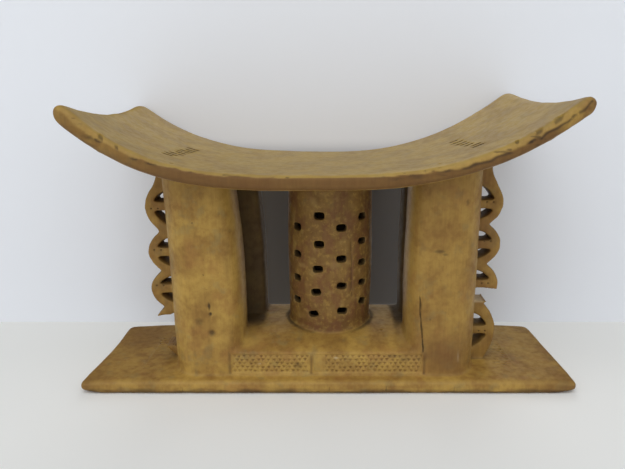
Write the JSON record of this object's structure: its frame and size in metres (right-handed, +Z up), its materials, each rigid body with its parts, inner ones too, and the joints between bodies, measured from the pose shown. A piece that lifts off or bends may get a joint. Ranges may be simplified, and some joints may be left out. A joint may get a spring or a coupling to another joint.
{
  "type": "carved wooden stool",
  "caption": "Carved wooden stool, catalogued as a headrest: curved seat on rounded posts and a pierced middle column, with a scalloped pierced bracket at each end and a flat base.",
  "frame": {"origin": "on the floor, under the middle of the stool's overall box", "axes": "+X along the seat to the viewer's right, +Y to the back, +Z up"},
  "size_m": [0.5048, 0.218, 0.2987],
  "materials": {
    "wood": "hand-carved pale brown wood, handled to a soft satin on the seat, darker and dull in the hollows"
  },
  "bodies": {
    "root": {"stool": "wood"}
  },
  "joints": []
}
